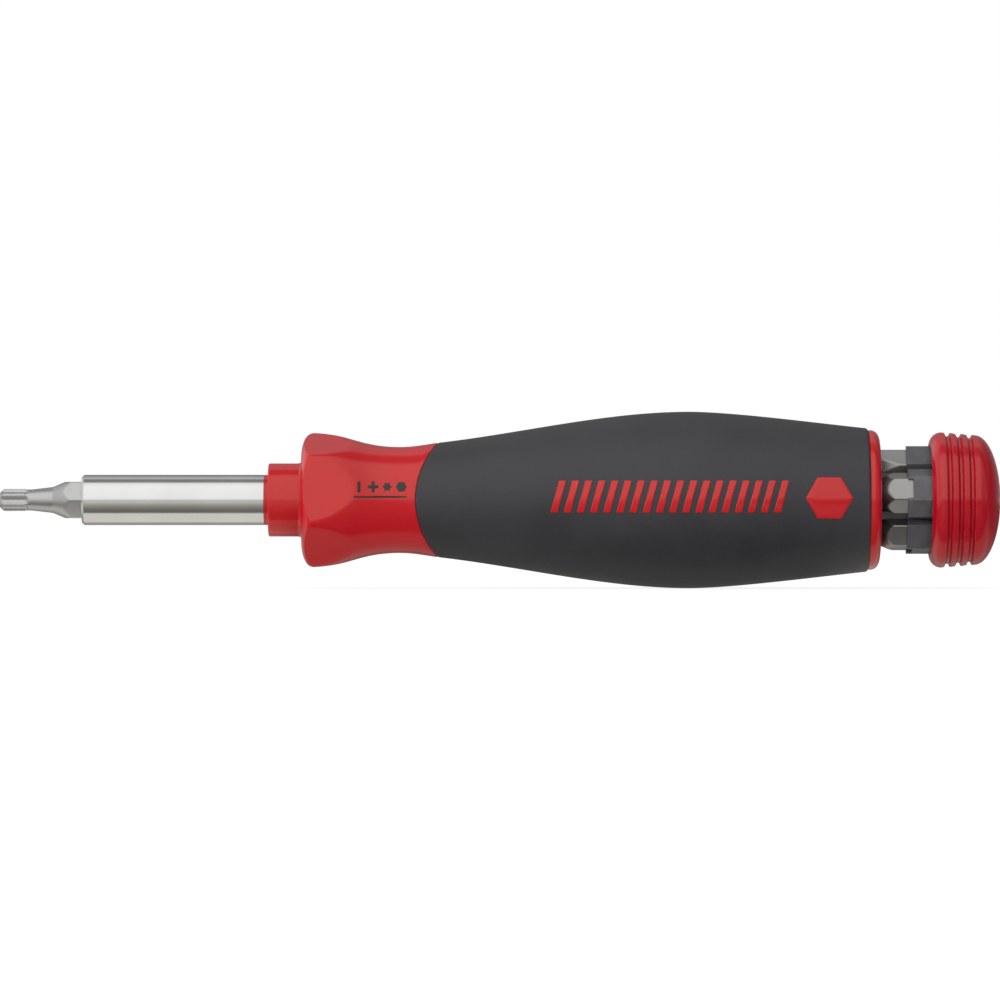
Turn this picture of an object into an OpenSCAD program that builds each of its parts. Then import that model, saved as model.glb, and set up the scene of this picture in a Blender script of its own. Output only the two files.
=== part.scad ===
// Pocket screwdriver with a pull-out bit magazine in the handle.
// Millimetres. The tool lies along X with its tip at -X and +Z up.
// The origin is the centre of the bit holder's mouth.

/* [Bits] */
// Hexagon shanks, across the flats
hex_af = 6.35; // [6:0.05:7]
// Length of every bit
bit_l = 25; // [23:0.5:30]
// Hexagon length of the bit in the nose
nose_hex_l = 13.6; // [11.5:0.1:15]
// Diameter over the six lobes of the nose bit
nose_lobe_d = 3.86; // [2.8:0.01:4.4]
// Hexagon length of the necked bits in the magazine
stored_hex_l = 12.4; // [10.5:0.1:15]
// Neck diameter of the necked bits in the magazine
stored_neck_d = 3.6; // [3:0.1:4.6]
// Hexagon length of the slotted bit in the magazine
slotted_hex_l = 17.5; // [15:0.5:19]

/* [Bit holder] */
// Play around a hexagon shank in the holder, across the flats
socket_play = 0.1; // [0.06:0.02:0.2]
// Wall of the holder sleeve at the corners of its hexagon
sleeve_wall = 0.68; // [0.5:0.02:1.4]
// Length of the sleeve that shows in front of the handle
sleeve_reach = 32.6; // [24:0.2:44]
// Length of the sleeve inside the handle
sleeve_hold = 13; // [9:0.5:16]
// Depth that a bit goes into the holder
socket_depth = 10.6; // [8:0.2:11.4]
// Thickness of the magnet behind the bit
magnet_t = 2.5; // [1.5:0.1:4]

/* [Handle] */
// Diameter of the nose collar
collar_d = 12.8; // [11.4:0.1:15]
// Length of the nose collar
collar_l = 5.8; // [3:0.1:9]
// Diameter over the rounded corners of the six-sided roll stop
flange_d = 23.8; // [22.6:0.1:27]
// Width across the flats of the roll stop, as a share of that diameter
flat_share = 0.8824; // [0.87:0.002:0.96]
// Distance from the flange face to the waist
neck_l = 17.2; // [15:0.2:22]
// Waist diameter
waist_d = 18.56; // [17.4:0.1:19.6]
// Distance from the waist to the foremost point of the grip
tongue_lead = 2.8; // [1:0.1:4]
// Radius of the grip's front edge, seen from the side
tongue_r = 15.1; // [12.5:0.1:18]
// Distance from the waist to the thickest place
front_barrel_l = 50.5; // [45:0.5:60]
// Distance from the thickest place to the rear edge of the grip
rear_barrel_l = 31.3; // [28:0.1:38]
// Rise of the barrel above its rear edge, on the radius
barrel_rise = 2.85; // [1.5:0.05:4.5]
// Thickness of the soft grip
grip_t = 1.45; // [1:0.05:1.8]
// Length of the ring that shows behind the grip
rim_l = 2; // [1.5:0.1:3]
// Core wall around the rear ring
core_wall = 0.75; // [0.6:0.05:1.6]
// Wall of the rear ring around the magazine
ring_wall = 0.6; // [0.5:0.05:1.2]

/* [Magazine] */
// Distance that the magazine is pulled out
pull = 8.8; // [1:0.1:20]
// Turn of the magazine in the handle
magazine_turn = -12.8; // [-45:0.1:45]
// Play around a bit in the magazine, across the flats
pocket_play = 0.12; // [0.08:0.02:0.2]
// Depth of the bit pockets
pocket_depth = 9; // [7:0.2:10]
// Thinnest wall between two pockets
web_t = 0.5; // [0.4:0.05:1]
// Wall around the pockets
pocket_wall = 0.5; // [0.4:0.05:0.8]
// Length of the pocket block that shows in front of the cap
block_show = 4.1; // [2:0.1:5]
// Wall of the cap's skirt
cap_wall = 2.3; // [1.9:0.05:3]
// Length of the cap
cap_l = 12.4; // [12:0.1:16]
// Depth of the grooves around the cap
groove_depth = 0.6; // [0.2:0.05:0.7]
// Thickness of the round section of the friction ring
ring_section = 1.9; // [1.4:0.1:2.4]

/* [Hidden] */
$fn = 96;

// Clearances: pieces fixed in place, turning or sliding fits, and free running
seat_gap = 0.02;
fit_gap = 0.04;
free_gap = 0.3;
// Length that a cutter runs past a face
over = 1;

function hex_corner(af) = af / (2 * cos(30));

// Bits: the turned break on their corners, the rear bevel and the shoulder's slope
bits_n = 4;
corner_break = 0.05;
bit_corner_r = hex_corner(hex_af) - corner_break;
bit_bevel = 0.5;
shoulder_slope = 0.43;
lobe_l = 4.4;

// Bit holder: the sleeve steps down to a stem where the handle's front lip begins
socket_af = hex_af + socket_play;
sleeve_r = hex_corner(socket_af) + sleeve_wall;
sleeve_bevel = 0.4;
sleeve_end = sleeve_reach + sleeve_hold;
stem_step = 0.2;
stem_r = sleeve_r - stem_step;
lip_l = 0.7;
lip_x = sleeve_reach - lip_l;
stem_x = lip_x - seat_gap;
magnet_play = 0.15;
magnet_r = socket_af / 2 - magnet_play;
magnet_x = socket_depth + seat_gap;
shank_x = magnet_x + magnet_t + seat_gap;
shank_af = socket_af - 2 * seat_gap;

// Positions along the handle
flange_x = sleeve_reach + collar_l;
waist_x = flange_x + neck_l;
tongue_x = waist_x + tongue_lead;
bulge_x = waist_x + front_barrel_l;
tail_x = bulge_x + rear_barrel_l;
rim_x = tail_x + rim_l;

// Wings on the shank that lock it in the handle
wing_w = 12.4;
wing_t = 2.4;
wing_l = 11;
wing_x = tongue_x + over;
shank_tail = 4;
shank_end = wing_x + wing_l + shank_tail;

// Magazine cross-section, from the bits outwards
pocket_af = hex_af + pocket_play;
pitch_r = sqrt(2) * (hex_corner(pocket_af) * cos(15) + web_t / 2);
bits_r = norm([pitch_r + hex_af / 2, hex_af / 2 * tan(30)]);
block_af = pocket_af + 2 * pocket_wall;
block_r = norm([pitch_r + block_af / 2, block_af / 2 * tan(30)]);
spine_r = pitch_r - free_gap;
land_r = bits_r + free_gap;
stop_lip = 0.35;
stop_r = land_r + stop_lip;
bore_r = stop_r + free_gap;
recess_r = block_r + free_gap;
spigot_r = max(recess_r, bore_r) + ring_wall;
core_tail_r = spigot_r + seat_gap + core_wall;
tail_r = core_tail_r + grip_t;
bulge_r = tail_r + barrel_rise;
cup_play = 0.1;
cup_r = block_r + cup_play;
cap_r = cup_r + cap_wall;

// Magazine positions along X
cap_x = rim_x + pull;
cap_end = cap_x + cap_l;
block_x = cap_x - block_show;
pocket_end = block_x + pocket_depth;
pocket_floor = 1;
block_end = pocket_end + pocket_floor;
channel_spare = 2;
channel_l = bit_l + pocket_depth + channel_spare;
spine_x = block_x - channel_l;
collar_cheek = 1.3;
stop_t = ring_section + 2 * collar_cheek;
stop_x = spine_x - stop_t;
ring_x = spine_x - stop_t / 2;
recess_spare = 0.2;
recess_x = rim_x - block_show - recess_spare;
land_l = 4;
land_x = recess_x - land_l;
cavity_spare = 2.5;
cavity_x = stop_x - pull - cavity_spare;

// Small parts of the magazine
screw_r = 1.2;
screw_l = 9;
screw_head_r = 2.3;
screw_head_t = 1.4;
screw_play = 0.1;
stub_r = 1.9;
stub_l = 2.2;
cap_floor = 3;
plug_r = 6.4;
plug_wall = 1.6;
plug_spare = 0.3;
plug_l = cap_end - cap_floor - plug_spare - block_end;

// Outlines of turned pieces, as [radius, x] points
function bezier(a, b, c, d, n) = [
    for (i = [0 : n])
        let (t = i / n, u = 1 - t)
            u * u * u * a + 3 * u * u * t * b + 3 * u * t * t * c + t * t * t * d
];
function round_line(centre, r_axis, x_axis, from, to, n) = [
    for (i = [0 : n])
        let (t = from + (to - from) * i / n)
            [centre[0] + r_axis * cos(t), centre[1] + x_axis * sin(t)]
];
function after_first(list) = [for (i = [1 : len(list) - 1]) list[i]];
function reversed(list) = [for (i = [len(list) - 1 : -1 : 0]) list[i]];

collar_r = collar_d / 2;
collar_bevel = 0.3;
collar_fillet = 0.8;
fillet_line = round_line(
    [collar_r + collar_fillet, flange_x - collar_fillet], collar_fillet, collar_fillet, 180, 90, 4
);
flange_r = flange_d / 2;
face_round_l = 2.2;
face_round_r = 3.9;
face_line = round_line(
    [flange_r - face_round_r, flange_x + face_round_l], face_round_r, face_round_l, -90, -10, 6
);
waist_r = waist_d / 2;
flange_fall = 0.45;
neck_line = bezier(
    [flange_r, flange_x + face_round_l],
    [flange_r - flange_fall, flange_x + 0.49 * neck_l],
    [waist_r, flange_x + 0.6 * neck_l],
    [waist_r, waist_x],
    10
);
flare_l = 6.5;
flare_rise = 0.72;
flare_x = waist_x + flare_l;
flare_r = waist_r + flare_rise;
flare_line = bezier(
    [waist_r, waist_x],
    [waist_r, waist_x + 0.35 * flare_l],
    [flare_r - 0.49 * flare_rise, flare_x - 0.38 * flare_l],
    [flare_r, flare_x],
    6
);
swell_l = bulge_x - flare_x;
front_line = bezier(
    [flare_r, flare_x],
    [flare_r + 0.3 * (bulge_r - flare_r), flare_x + 0.33 * swell_l],
    [bulge_r, flare_x + 0.67 * swell_l],
    [bulge_r, bulge_x],
    14
);
grip_round = 0.5;
rear_line = bezier(
    [bulge_r, bulge_x],
    [bulge_r, bulge_x + 0.24 * rear_barrel_l],
    [tail_r + 0.36 * barrel_rise, bulge_x + 0.68 * rear_barrel_l],
    [tail_r, tail_x - grip_round],
    12
);
barrel_line = concat(flare_line, after_first(front_line), after_first(rear_line));
grip_end_line = round_line([tail_r - grip_round, tail_x - grip_round], grip_round, grip_round, 30, 90, 2);

module turned(points) {
    rotate([0, 90, 0])
        rotate_extrude()
            polygon(points);
}

module round_bar(r, x0, x1) {
    translate([x0, 0, 0])
        rotate([0, 90, 0])
            cylinder(r = r, h = x1 - x0);
}

// Hexagon bar along X with flats to +Z and -Z
module hex_bar(af, x0, x1) {
    translate([x0, 0, 0])
        rotate([0, 90, 0])
            rotate(30)
                cylinder(r = hex_corner(af), h = x1 - x0, $fn = 6);
}

// Handle: one hard body, with the soft grip let into it
module whole_body() {
    turned(concat(
        [[0, lip_x], [sleeve_r, lip_x], [sleeve_r, sleeve_reach]],
        [[collar_r - collar_bevel, sleeve_reach], [collar_r, sleeve_reach + collar_bevel]],
        fillet_line,
        face_line,
        neck_line,
        after_first(barrel_line),
        [[tail_r, tail_x], [0, tail_x]]
    ));
}

// Everything behind the tongue-shaped front edge of the grip
module grip_side(gap) {
    wide = 4 * bulge_r;
    translate([tongue_x + tongue_r, 0, 0]) {
        rotate([90, 0, 0])
            cylinder(r = tongue_r - gap, h = wide, center = true);
        translate([0, -wide / 2, -wide / 2])
            cube([tail_x - tongue_x, wide, wide]);
    }
}

// Ring under the barrel's outline, to a depth and with a height above it
module grip_band(depth, above) {
    end_x = above > 0 ? tail_x + over : tail_x;
    turned(concat(
        [for (p = barrel_line) [p[0] + above, p[1]]],
        above > 0 ? [[tail_r + above, end_x]] : grip_end_line,
        [[tail_r - depth, end_x]],
        [for (p = reversed(barrel_line)) [p[0] - depth, p[1]]]
    ));
}

// One flat of the roll stop faces the viewer, turned up a little
module flange_flats() {
    flat_turn = 80.4;
    for (k = [0 : 5])
        rotate([flat_turn + 60 * k, 0, 0])
            translate([flange_x - over, -flange_r, flat_share * flange_r])
                cube([neck_l, 2 * flange_r, flange_r]);
}

module shank_shape(gap) {
    hex_bar(shank_af + 2 * gap, shank_x, shank_end + gap);
    translate([wing_x - gap, -wing_t / 2 - gap, -wing_w / 2 - gap])
        cube([wing_l + 2 * gap, wing_t + 2 * gap, wing_w + 2 * gap]);
}

module handle_core() {
    color([0.72, 0.07, 0.08])
        difference() {
            whole_body();
            flange_flats();
            intersection() {
                grip_band(grip_t, over);
                grip_side(0);
            }
            round_bar(stem_r + seat_gap, lip_x - over, sleeve_end + seat_gap);
            intersection() {
                shank_shape(seat_gap);
                round_bar(bulge_r, sleeve_end - over, shank_end + over);
            }
            round_bar(bore_r, cavity_x, tail_x + over);
            round_bar(spigot_r + seat_gap, land_x - seat_gap, tail_x + over);
        }
}

module soft_grip() {
    color([0.07, 0.07, 0.075])
        intersection() {
            grip_band(grip_t - seat_gap, 0);
            grip_side(seat_gap);
        }
}

module rear_ring() {
    mouth_bevel = 0.4;
    lip_t = 0.7;
    rim_step = 0.38;
    rim_flat = 0.5;
    rim_r = tail_r - rim_step;
    lip_r = recess_r + lip_t;
    color([0.72, 0.07, 0.08])
        turned(concat(
            [[land_r, land_x], [spigot_r, land_x], [spigot_r, tail_x + seat_gap], [rim_r, tail_x + seat_gap]],
            round_line([lip_r, tail_x + rim_flat], rim_r - lip_r, rim_l - rim_flat, 0, 90, 6),
            [[recess_r + mouth_bevel, rim_x], [recess_r, rim_x - mouth_bevel], [recess_r, recess_x]],
            [[land_r, recess_x]]
        ));
}

// Bit holder
module holder_sleeve() {
    color([0.75, 0.76, 0.77])
        difference() {
            turned([
                [0, 0],
                [sleeve_r - sleeve_bevel, 0],
                [sleeve_r, sleeve_bevel],
                [sleeve_r, stem_x],
                [stem_r, stem_x],
                [stem_r, sleeve_end],
                [0, sleeve_end]
            ]);
            hex_bar(socket_af, -over, sleeve_end + over);
        }
}

module drive_shank() {
    color([0.6, 0.61, 0.63])
        shank_shape(0);
}

module holder_magnet() {
    color([0.5, 0.5, 0.52])
        round_bar(magnet_r, magnet_x, magnet_x + magnet_t);
}

// Bit with its rear end at x = 0 and its tip at -X
module bit_blank(hex_l, root_r, tip_line) {
    root_x = -hex_l - (hex_af / 2 - root_r) / shoulder_slope;
    shoulder_x = root_x + (bit_corner_r - root_r) / shoulder_slope;
    intersection() {
        hex_bar(hex_af, -bit_l - over, over);
        turned(concat(
            tip_line,
            [[root_r, root_x], [bit_corner_r, shoulder_x], [bit_corner_r, -bit_bevel]],
            [[bit_corner_r - bit_bevel, 0], [0, 0]]
        ));
    }
}

module lobed_bit(hex_l, lobe_r, neck_r, root_r) {
    flute_r = 0.42 * lobe_r;
    lead = 0.7;
    step = 0.2;
    difference() {
        bit_blank(hex_l, root_r, [
            [0, -bit_l],
            [0.66 * lobe_r, -bit_l],
            [lobe_r, -bit_l + lead],
            [lobe_r, -bit_l + lobe_l],
            [neck_r, -bit_l + lobe_l + step],
            [neck_r, -bit_l + lobe_l + step + over]
        ]);
        for (k = [0 : 5])
            rotate([60 * k + 30, 0, 0])
                translate([0, 0, 0.72 * lobe_r + flute_r])
                    round_bar(flute_r, -bit_l - over, -bit_l + lobe_l + lead);
    }
}

module nose_bit() {
    lobe_r = nose_lobe_d / 2;
    color([0.62, 0.63, 0.64])
        translate([socket_depth, 0, 0])
            lobed_bit(nose_hex_l, lobe_r, 0.955 * lobe_r, 1.18 * lobe_r);
}

// Place k of the four around the magazine, counted from the top
module at_pocket(k) {
    rotate([magazine_turn + k * 360 / bits_n, 0, 0])
        translate([0, 0, pitch_r])
            children();
}

module in_pocket(k) {
    at_pocket(k)
        translate([pocket_end - seat_gap, 0, 0])
            children();
}

module slotted_bit() {
    blade_t = 1;
    blade_r = 2.75;
    blade_slope = 12;
    color([0.62, 0.63, 0.64])
        in_pocket(0)
            difference() {
                bit_blank(slotted_hex_l, blade_r, [[0, -bit_l], [blade_r, -bit_l]]);
                for (side = [90, 270])
                    rotate([side, 0, 0])
                        translate([-bit_l, 0, blade_t / 2])
                            rotate([0, -blade_slope, 0])
                                translate([-over, -hex_af, 0])
                                    cube([bit_l, 2 * hex_af, hex_af]);
            }
}

module cross_bit() {
    neck_r = stored_neck_d / 2;
    wing_half = 0.45;
    wing_slope = 8;
    point_r = 0.7;
    point_l = 2.2;
    tip_l = 5;
    color([0.62, 0.63, 0.64])
        in_pocket(1)
            difference() {
                bit_blank(stored_hex_l, neck_r + 0.3, [
                    [0, -bit_l],
                    [point_r, -bit_l],
                    [neck_r, -bit_l + point_l],
                    [neck_r, -bit_l + tip_l + over]
                ]);
                for (k = [0 : 3])
                    rotate([90 * k, 0, 0])
                        translate([-bit_l, wing_half, wing_half])
                            rotate([0, -wing_slope, wing_slope])
                                translate([-over, 0, 0])
                                    cube([tip_l + over, hex_af, hex_af]);
            }
}

module star_bit() {
    neck_r = stored_neck_d / 2;
    color([0.62, 0.63, 0.64])
        in_pocket(2)
            lobed_bit(stored_hex_l, 0.91 * neck_r, neck_r, neck_r + 0.2);
}

module hexagon_bit() {
    neck_r = stored_neck_d / 2 + 0.5;
    key_l = 6;
    color([0.62, 0.63, 0.64])
        in_pocket(3)
            difference() {
                bit_blank(stored_hex_l, neck_r + 0.1, [
                    [0, -bit_l],
                    [neck_r - bit_bevel, -bit_l],
                    [neck_r, -bit_l + bit_bevel],
                    [neck_r, -bit_l + key_l + over]
                ]);
                difference() {
                    round_bar(2 * neck_r, -bit_l - over, -bit_l + key_l);
                    hex_bar(stored_neck_d, -bit_l - 2 * over, -bit_l + key_l + over);
                }
            }
}

// Magazine
module bit_carrier() {
    notch_w = 0.9 * hex_corner(hex_af);
    notch_l = 0.9;
    color([0.1, 0.1, 0.11])
        difference() {
            union() {
                for (k = [0 : bits_n - 1])
                    at_pocket(k)
                        hex_bar(block_af, block_x, block_end);
                round_bar(pitch_r, block_x, block_end);
                round_bar(spine_r, spine_x, block_x + pocket_floor);
                round_bar(stub_r, spine_x - stub_l, spine_x + over);
                round_bar(plug_r, block_end - pocket_floor / 2, block_end + plug_l);
            }
            for (k = [0 : bits_n - 1])
                at_pocket(k) {
                    hex_bar(pocket_af, spine_x - over, pocket_end);
                    translate([block_x - over, -notch_w / 2, hex_af / 4])
                        cube([over + notch_l, notch_w, pitch_r]);
                }
            round_bar(screw_r, spine_x - stub_l - over, spine_x - stub_l + screw_l);
            round_bar(plug_r - plug_wall, block_end + pocket_floor / 2, block_end + plug_l + over);
        }
}

module guide_collar() {
    groove_r = bore_r - ring_section - 2 * fit_gap;
    groove_half = ring_section / 2 + fit_gap;
    collar_break = 0.6;
    color([0.1, 0.1, 0.11])
        difference() {
            turned([
                [0, stop_x],
                [stop_r - collar_break, stop_x],
                [stop_r, stop_x + collar_break],
                [stop_r, ring_x - groove_half],
                [groove_r, ring_x - groove_half],
                [groove_r, ring_x + groove_half],
                [stop_r, ring_x + groove_half],
                [stop_r, spine_x - seat_gap],
                [0, spine_x - seat_gap]
            ]);
            round_bar(stub_r + seat_gap, spine_x - stub_l - seat_gap, spine_x + over);
            round_bar(screw_r + screw_play, stop_x - over, spine_x);
            round_bar(screw_head_r + screw_play, stop_x - over, stop_x + screw_head_t);
        }
}

module collar_screw() {
    slot_w = 0.6;
    slot_depth = 0.8;
    color([0.55, 0.56, 0.58])
        difference() {
            union() {
                round_bar(screw_head_r, stop_x + screw_play, stop_x + screw_head_t - seat_gap);
                round_bar(screw_r - seat_gap, stop_x + slot_w, spine_x - stub_l + screw_l - screw_play);
            }
            for (turn = [0, 90])
                rotate([turn, 0, 0])
                    translate([stop_x, -screw_r, -slot_w / 2])
                        cube([slot_depth, 2 * screw_r, slot_w]);
        }
}

module friction_ring() {
    color([0.12, 0.12, 0.12])
        translate([ring_x, 0, 0])
            rotate([0, 90, 0])
                rotate_extrude()
                    translate([bore_r - fit_gap - ring_section / 2, 0])
                        circle(d = ring_section);
}

module pull_cap() {
    lip = 0.25;
    skirt_l = 2.1;
    dome_l = 4.5;
    taper = 0.5;
    grooves = 3;
    groove_half = 0.5;
    groove_flat = 0.2;
    skirt_x = cap_x + skirt_l;
    dome_x = cap_end - dome_l;
    step = (dome_x - skirt_x) / grooves;
    ribs = [for (k = [0 : grooves - 1])
        let (x = skirt_x + (k + 0.5) * step, r = cap_r - taper * (k + 0.5) / grooves)
            each [
                [r, x - groove_half],
                [r - groove_depth, x - groove_flat],
                [r - groove_depth, x + groove_flat],
                [r, x + groove_half]
            ]
    ];
    color([0.72, 0.07, 0.08])
        turned(concat(
            [[cup_r, cap_x + lip], [cup_r + lip, cap_x]],
            round_line([cup_r + lip, skirt_x], cap_r - cup_r - lip, skirt_l, -80, 0, 6),
            ribs,
            round_line([0, dome_x], cap_r - taper, dome_l, 0, 85, 12),
            [[0, cap_end], [0, cap_end - cap_floor], [plug_r + seat_gap, cap_end - cap_floor]],
            [[plug_r + seat_gap, block_end + seat_gap], [cup_r, block_end + seat_gap]]
        ));
}

handle_core();
soft_grip();
rear_ring();
holder_sleeve();
drive_shank();
holder_magnet();
nose_bit();
slotted_bit();
cross_bit();
star_bit();
hexagon_bit();
bit_carrier();
guide_collar();
collar_screw();
friction_ring();
pull_cap();
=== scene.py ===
import math

import bmesh
import bpy
import numpy as np
from mathutils import Matrix


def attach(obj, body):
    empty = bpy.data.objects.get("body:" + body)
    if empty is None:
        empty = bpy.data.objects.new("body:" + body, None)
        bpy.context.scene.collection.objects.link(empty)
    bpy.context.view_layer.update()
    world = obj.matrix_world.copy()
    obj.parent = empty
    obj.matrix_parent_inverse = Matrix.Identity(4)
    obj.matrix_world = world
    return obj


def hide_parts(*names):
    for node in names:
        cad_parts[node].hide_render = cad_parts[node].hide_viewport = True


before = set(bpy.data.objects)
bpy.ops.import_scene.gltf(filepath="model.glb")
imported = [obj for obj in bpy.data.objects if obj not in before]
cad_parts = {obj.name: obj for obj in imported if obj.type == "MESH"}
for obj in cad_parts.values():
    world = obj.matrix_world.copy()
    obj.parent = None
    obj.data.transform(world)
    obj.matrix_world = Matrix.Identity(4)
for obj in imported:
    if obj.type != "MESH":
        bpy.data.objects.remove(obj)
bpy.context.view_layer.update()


# Handle core
# One injection-moulded body of glossy red plastic: a nose collar, a six-sided stop against rolling,
# a hollowed neck and a barrel under the soft grip. The steel sleeve is pressed into its front, and
# the magazine runs in the bore at its rear.

MM = 0.001
STOP_TOP = (40.6, 11.9)
WAIST = (55.6, 9.28)
FLARE = (62.1, 10.0)
BULGE = (106.1, 15.444)
TAPER = (136.9, 12.594)
TAIL_X = 137.4
GRIP_T = 1.45


def bezier(a, b, c, d, n):
    """Points on a cubic curve from a to d, drawn towards b and c, as rows of (x, r)."""
    a, b, c, d = (np.array(p, float) for p in (a, b, c, d))
    t = np.linspace(0, 1, n + 1)[:, None]
    u = 1 - t
    return u**3 * a + 3 * u * u * t * b + 3 * u * t * t * c + t**3 * d


def arc(centre, x_axis, r_axis, start, end, n):
    """Points on an ellipse's arc; 0 degrees points outwards and 90 to the rear."""
    t = np.radians(np.linspace(start, end, n + 1))
    return np.stack([centre[0] + x_axis * np.sin(t), centre[1] + r_axis * np.cos(t)], axis=1)


neck = bezier(STOP_TOP, (46.828, 11.45), (48.72, WAIST[1]), WAIST, 60)
flare = bezier(WAIST, (57.875, WAIST[1]), (59.63, 9.647), FLARE, 30)
swell = bezier(FLARE, (76.62, 11.633), (91.58, BULGE[1]), BULGE, 120)
fall = bezier(BULGE, (113.612, BULGE[1]), (127.384, 13.62), TAPER, 90)
barrel = np.vstack([neck, flare[1:], swell[1:], fall[1:]])


def body_r(x):
    """Radius of the handle's outer skin at x."""
    return np.interp(x, barrel[:, 0], barrel[:, 1])


def eased(corners, steps=4, closed=False):
    """Outline through (x, r, rounding) corners, each rounded and held straight beside its round."""
    most_round = 0.45
    hold = 1.5
    points = np.array([c[:2] for c in corners], float)
    count = len(points)
    line = []
    for i, corner in enumerate(corners):
        p, size = points[i], corner[2]
        if size == 0 or (not closed and i in (0, count - 1)):
            line.append(p)
            continue
        to_last = points[i - 1] - p
        to_next = points[(i + 1) % count] - p
        room = most_round * min(np.linalg.norm(to_last), np.linalg.norm(to_next))
        to_last = to_last / np.linalg.norm(to_last)
        to_next = to_next / np.linalg.norm(to_next)
        half = 0.5 * math.acos(max(-1.0, min(1.0, float(to_last @ to_next))))
        reach = min(size / math.tan(half), room)
        held = room > hold * reach
        a, b = p + to_last * reach, p + to_next * reach
        if held:
            line.append(p + to_last * hold * reach)
        for t in np.linspace(0, 1, steps + 1):
            line.append((1 - t) ** 2 * a + 2 * t * (1 - t) * p + t * t * b)
        if held:
            line.append(p + to_next * hold * reach)
    return np.array(line)


def ring(turn, x, r):
    """Points round the axis: turn runs from the top towards the viewer."""
    x = np.broadcast_to(np.asarray(x, float), turn.shape)
    return np.stack([x, -r * np.sin(turn), r * np.cos(turn)], axis=1) * MM


def round_rings(turn, x, r, size, angles, way):
    """Rings over the rounded edge of a wall; way is 1 for its front edge and -1 for its rear edge."""
    rings = []
    for t in np.radians(angles):
        rings.append(ring(turn, x + way * size * (1 - np.sin(t)), r - size * (1 - np.cos(t))))
    return rings


def polygon_r(turn, across, sides, first=0.0):
    """Radius of a regular polygon; first is the direction of one flat."""
    step = 2 * math.pi / sides
    return across / 2 / np.cos((turn - first + step / 2) % step - step / 2)


def soft_min(a, b, blend):
    """The smaller of two radii, with the edge between them rounded."""
    h = np.clip(0.5 + 0.5 * (b - a) / blend, 0, 1)
    return b * (1 - h) + a * h - blend * h * (1 - h)


def close_up(mesh):
    """Joins a mesh's seams and poles and turns its faces outwards."""
    seam = 2e-7
    sliver = 1e-8
    shell = bmesh.new()
    shell.from_mesh(mesh)
    bmesh.ops.remove_doubles(shell, verts=shell.verts, dist=seam)
    bmesh.ops.dissolve_degenerate(shell, edges=shell.edges, dist=sliver)
    bmesh.ops.recalc_face_normals(shell, faces=shell.faces)
    for face in shell.faces:
        face.smooth = True
    shell.to_mesh(mesh)
    shell.free()


def piece_of(name, mesh):
    """Puts a mesh into the scene as a piece."""
    piece = bpy.data.objects.new(name, mesh)
    bpy.context.scene.collection.objects.link(piece)
    return piece


def skin(name, rings, wrap=False):
    """A piece skinned over rings of equal count; wrap joins the last ring to the first."""
    count = len(rings[0])
    total = len(rings)
    faces = []
    for i in range(total if wrap else total - 1):
        a, b = i * count, (i + 1) % total * count
        for j in range(count):
            k = (j + 1) % count
            faces.append((a + j, a + k, b + k, b + j))
    mesh = bpy.data.meshes.new(name)
    mesh.from_pydata(np.concatenate(rings).tolist(), [], faces)
    close_up(mesh)
    return piece_of(name, mesh)


def add(tree, kind, props=None, **sockets):
    """A node with its sockets set or linked; _3 is the input numbered 3."""
    node = tree.nodes.new(kind)
    for key, value in (props or {}).items():
        setattr(node, key, value)
    for key, value in sockets.items():
        number = key[1:]
        socket = node.inputs[int(number)] if number.isdigit() else node.inputs[key.replace("_", " ")]
        if isinstance(value, bpy.types.NodeSocket):
            tree.links.new(value, socket)
        else:
            socket.default_value = value
    return node


def reckon(tree, operation, a, b=0.0, c=0.0):
    """The output of a math node."""
    return add(tree, "ShaderNodeMath", {"operation": operation}, _0=a, _1=b, _2=c).outputs[0]


def span(tree, factor, low, high):
    """A 0 to 1 factor stretched between two values; gives its output socket."""
    return add(tree, "ShaderNodeMapRange", Value=factor, To_Min=low, To_Max=high).outputs["Result"]


def share_of(tree, value, low, high, curve="LINEAR"):
    """How far a value is from low to high, held to 0 and 1; gives its output socket."""
    kind = {"interpolation_type": curve}
    return add(tree, "ShaderNodeMapRange", kind, Value=value, From_Min=low, From_Max=high).outputs["Result"]


def noise(tree, place, scale, detail):
    """A noise texture's value."""
    return add(tree, "ShaderNodeTexNoise", Vector=place, Scale=scale, Detail=detail).outputs["Fac"]


def blend_colour(tree, factor, a, b):
    """Mix of two colours by a factor, where a may come from a node; gives its output socket."""
    under = a if isinstance(a, bpy.types.NodeSocket) else (*a, 1)
    return add(tree, "ShaderNodeMix", {"data_type": "RGBA"}, _0=factor, _6=under, _7=(*b, 1)).outputs[2]


def effect(name, inputs, outputs):
    """A shader group with named value inputs and outputs; gives their sockets and the place on the piece."""
    tree = bpy.data.node_groups.new(name, "ShaderNodeTree")
    for label, value in inputs.items():
        socket = tree.interface.new_socket(label, in_out="INPUT", socket_type="NodeSocketFloat")
        socket.default_value = value
    for label in outputs:
        tree.interface.new_socket(label, in_out="OUTPUT", socket_type="NodeSocketFloat")
    given = tree.nodes.new("NodeGroupInput").outputs
    result = tree.nodes.new("NodeGroupOutput").inputs
    place = add(tree, "ShaderNodeTexCoord").outputs["Object"]
    return tree, given, result, place


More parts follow.
